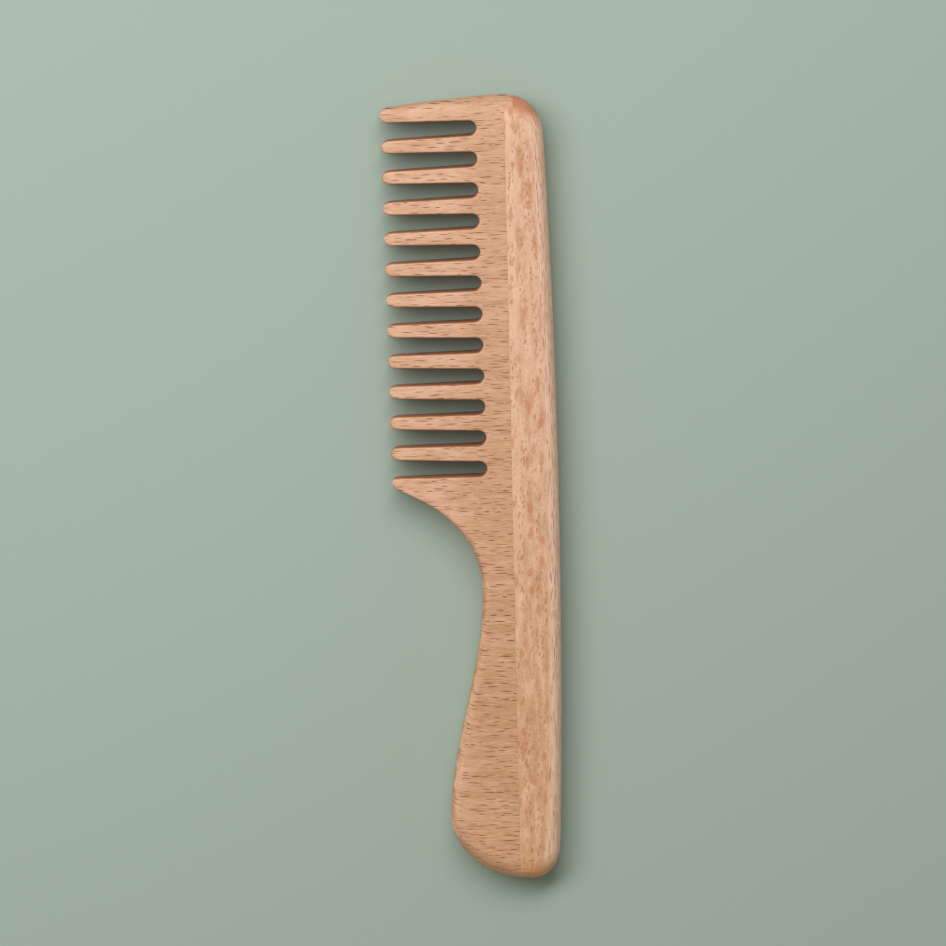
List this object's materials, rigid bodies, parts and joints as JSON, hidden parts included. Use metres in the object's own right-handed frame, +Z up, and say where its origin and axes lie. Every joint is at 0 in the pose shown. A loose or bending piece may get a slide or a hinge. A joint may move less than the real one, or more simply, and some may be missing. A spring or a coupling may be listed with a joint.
{
  "type": "wide-tooth handled hair comb",
  "caption": "Wide-toothed wooden hair comb with a handle, its tooth board joined to a rounded spine by a glued tongue and groove.",
  "frame": {"origin": "under the middle of the comb's outline, on the flat surface that it lies on", "axes": "+Y along the comb towards its toothed end, +Z up through the thickness, +X towards the spine, the teeth point along -X"},
  "size_m": [0.039, 0.1796, 0.0095],
  "materials": {
    "board_wood": "smooth sanded bare beech with a dull sheen, grain along the teeth",
    "spine_wood": "smooth sanded bare beech with a dull sheen, grain along the comb",
    "glue": "cured wood glue, dull"
  },
  "bodies": {
    "root": {"tooth_board": "board_wood", "spine": "spine_wood", "glue_line": "glue"}
  },
  "joints": []
}
